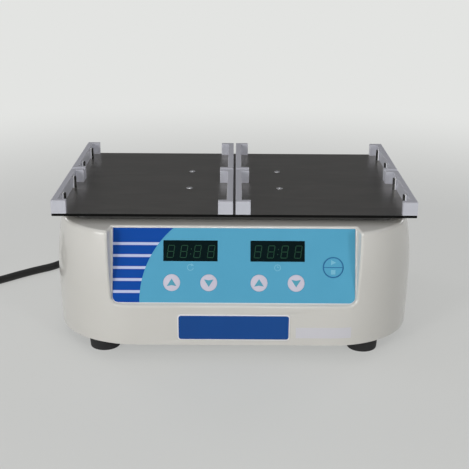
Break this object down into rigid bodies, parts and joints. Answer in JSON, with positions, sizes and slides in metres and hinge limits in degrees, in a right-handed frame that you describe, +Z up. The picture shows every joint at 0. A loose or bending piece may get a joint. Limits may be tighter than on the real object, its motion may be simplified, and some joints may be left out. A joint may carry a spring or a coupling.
{
  "type": "laboratory orbital shaker",
  "caption": "Low bench-top orbital shaker with rounded housing, tilted control panel, and a flat platform with channel brackets that form microplate nests.",
  "frame": {"origin": "on the bench under the middle of the housing", "axes": "+X to the user's right, -Y towards the user and the control panel, +Z up"},
  "size_m": [0.5023, 0.4033, 0.1174],
  "materials": {
    "housing_plastic": "satin warm white moulding",
    "zinc_steel": "bright zinc plate",
    "dark_rubber": "matt",
    "panel_film": "printed film, satin",
    "key_plastic": "satin",
    "smoked_window": "smoked gloss",
    "display_black": "gloss",
    "circuit_board": "solder mask",
    "black_plastic": "moulded",
    "cord_sheath": "flexible sheath",
    "badge_blue": "satin",
    "aluminium_plate": "milled",
    "motor_paint": "satin black",
    "ground_steel": "ground",
    "stainless_plate": "satin, dark",
    "bracket_aluminium": "clear anodised",
    "spring_steel": "polished",
    "plug_brass": "bright"
  },
  "bodies": {
    "base_unit": {"base_plate": "zinc_steel", "base_screws": "zinc_steel", "board_screws": "zinc_steel", "chassis_plate": "aluminium_plate", "chassis_posts": "zinc_steel", "chassis_screws": "zinc_steel", "control_board": "circuit_board", "cord_coil": "cord_sheath", "cord_connector": "black_plastic", "cord_lead": "cord_sheath", "display_windows": "smoked_window", "fuse_cap": "black_plastic", "fuse_holder": "black_plastic", "idler_bearings": "ground_steel", "inlet_pins": "plug_brass", "inlet_screws": "zinc_steel", "mains_plug": "black_plastic", "motor_body": "motor_paint", "name_plate": "badge_blue", "panel_overlay": "panel_film", "plug_blades": "plug_brass", "power_inlet": "black_plastic", "rubber_feet": "dark_rubber", "speed_display": "display_black", "supply_board": "circuit_board", "supply_parts": "black_plastic", "supply_posts": "zinc_steel", "switch_body": "black_plastic", "tact_switches": "black_plastic", "time_display": "display_black", "upper_housing": "housing_plastic"},
    "drive_crank": {"motor_shaft": "ground_steel", "eccentric_hub": "ground_steel", "hub_set_screw": "zinc_steel", "counterweight": "ground_steel", "counterweight_screw": "zinc_steel"},
    "platform": {"sub_plate": "aluminium_plate", "platform_bearings": "ground_steel", "platform_plate": "stainless_plate", "platform_screws": "stainless_plate", "bracket_screws": "stainless_plate", "retaining_springs": "spring_steel", "inner_bracket_front_left": "bracket_aluminium", "inner_bracket_front_right": "bracket_aluminium", "inner_bracket_rear_left": "bracket_aluminium", "inner_bracket_rear_right": "bracket_aluminium", "outer_bracket_front_left": "bracket_aluminium", "outer_bracket_front_right": "bracket_aluminium", "outer_bracket_rear_left": "bracket_aluminium", "outer_bracket_rear_right": "bracket_aluminium"},
    "front_left_idler": {"idler_front_left": "ground_steel"},
    "front_right_idler": {"idler_front_right": "ground_steel"},
    "rear_left_idler": {"idler_rear_left": "ground_steel"},
    "rear_right_idler": {"idler_rear_right": "ground_steel"},
    "speed_up_key": {"key_speed_up": "key_plastic"},
    "speed_down_key": {"key_speed_down": "key_plastic"},
    "time_up_key": {"key_time_up": "key_plastic"},
    "time_down_key": {"key_time_down": "key_plastic"},
    "start_stop_key": {"key_start_stop": "key_plastic"},
    "mains_rocker": {"power_rocker": "black_plastic"}
  },
  "joints": [
    {"name": "crank_spin", "type": "hinge", "parent": "base_unit", "child": "drive_crank", "pos_m": [0, 0.0072, 0.07], "axis": [0, 0, 1], "continuous": true},
    {"name": "platform_orbit", "type": "hinge", "parent": "drive_crank", "child": "platform", "pos_m": [0, 0.0087, 0.0975], "axis": [0, 0, 1], "continuous": true},
    {"name": "front_left_idler_spin", "type": "hinge", "parent": "base_unit", "child": "front_left_idler", "pos_m": [-0.095, -0.0528, 0.08], "axis": [0, 0, 1], "continuous": true},
    {"name": "front_right_idler_spin", "type": "hinge", "parent": "base_unit", "child": "front_right_idler", "pos_m": [0.095, -0.0528, 0.08], "axis": [0, 0, 1], "continuous": true},
    {"name": "rear_left_idler_spin", "type": "hinge", "parent": "base_unit", "child": "rear_left_idler", "pos_m": [-0.095, 0.0672, 0.08], "axis": [0, 0, 1], "continuous": true},
    {"name": "rear_right_idler_spin", "type": "hinge", "parent": "base_unit", "child": "rear_right_idler", "pos_m": [0.095, 0.0672, 0.08], "axis": [0, 0, 1], "continuous": true},
    {"name": "speed_up_press", "type": "slide", "parent": "base_unit", "child": "speed_up_key", "axis": [0, 0.9455, -0.3256], "range_m": [0, 0.0004], "stiffness_N_per_m": 1500, "springref_m": -0.0002},
    {"name": "speed_down_press", "type": "slide", "parent": "base_unit", "child": "speed_down_key", "axis": [0, 0.9455, -0.3256], "range_m": [0, 0.0004], "stiffness_N_per_m": 1500, "springref_m": -0.0002},
    {"name": "time_up_press", "type": "slide", "parent": "base_unit", "child": "time_up_key", "axis": [0, 0.9455, -0.3256], "range_m": [0, 0.0004], "stiffness_N_per_m": 1500, "springref_m": -0.0002},
    {"name": "time_down_press", "type": "slide", "parent": "base_unit", "child": "time_down_key", "axis": [0, 0.9455, -0.3256], "range_m": [0, 0.0004], "stiffness_N_per_m": 1500, "springref_m": -0.0002},
    {"name": "start_stop_press", "type": "slide", "parent": "base_unit", "child": "start_stop_key", "axis": [0, 0.9455, -0.3256], "range_m": [0, 0.0004], "stiffness_N_per_m": 1500, "springref_m": -0.0002},
    {"name": "mains_rocker_tilt", "type": "hinge", "parent": "base_unit", "child": "mains_rocker", "pos_m": [-0.043, 0.1079, 0.035], "axis": [1, 0, 0], "range_deg": [0, 24]}
  ],
  "couplings": [
    {"joint": "platform_orbit", "follows": "crank_spin", "ratio": -1},
    {"joint": "front_left_idler_spin", "follows": "crank_spin", "ratio": 1},
    {"joint": "front_right_idler_spin", "follows": "crank_spin", "ratio": 1},
    {"joint": "rear_left_idler_spin", "follows": "crank_spin", "ratio": 1},
    {"joint": "rear_right_idler_spin", "follows": "crank_spin", "ratio": 1}
  ]
}
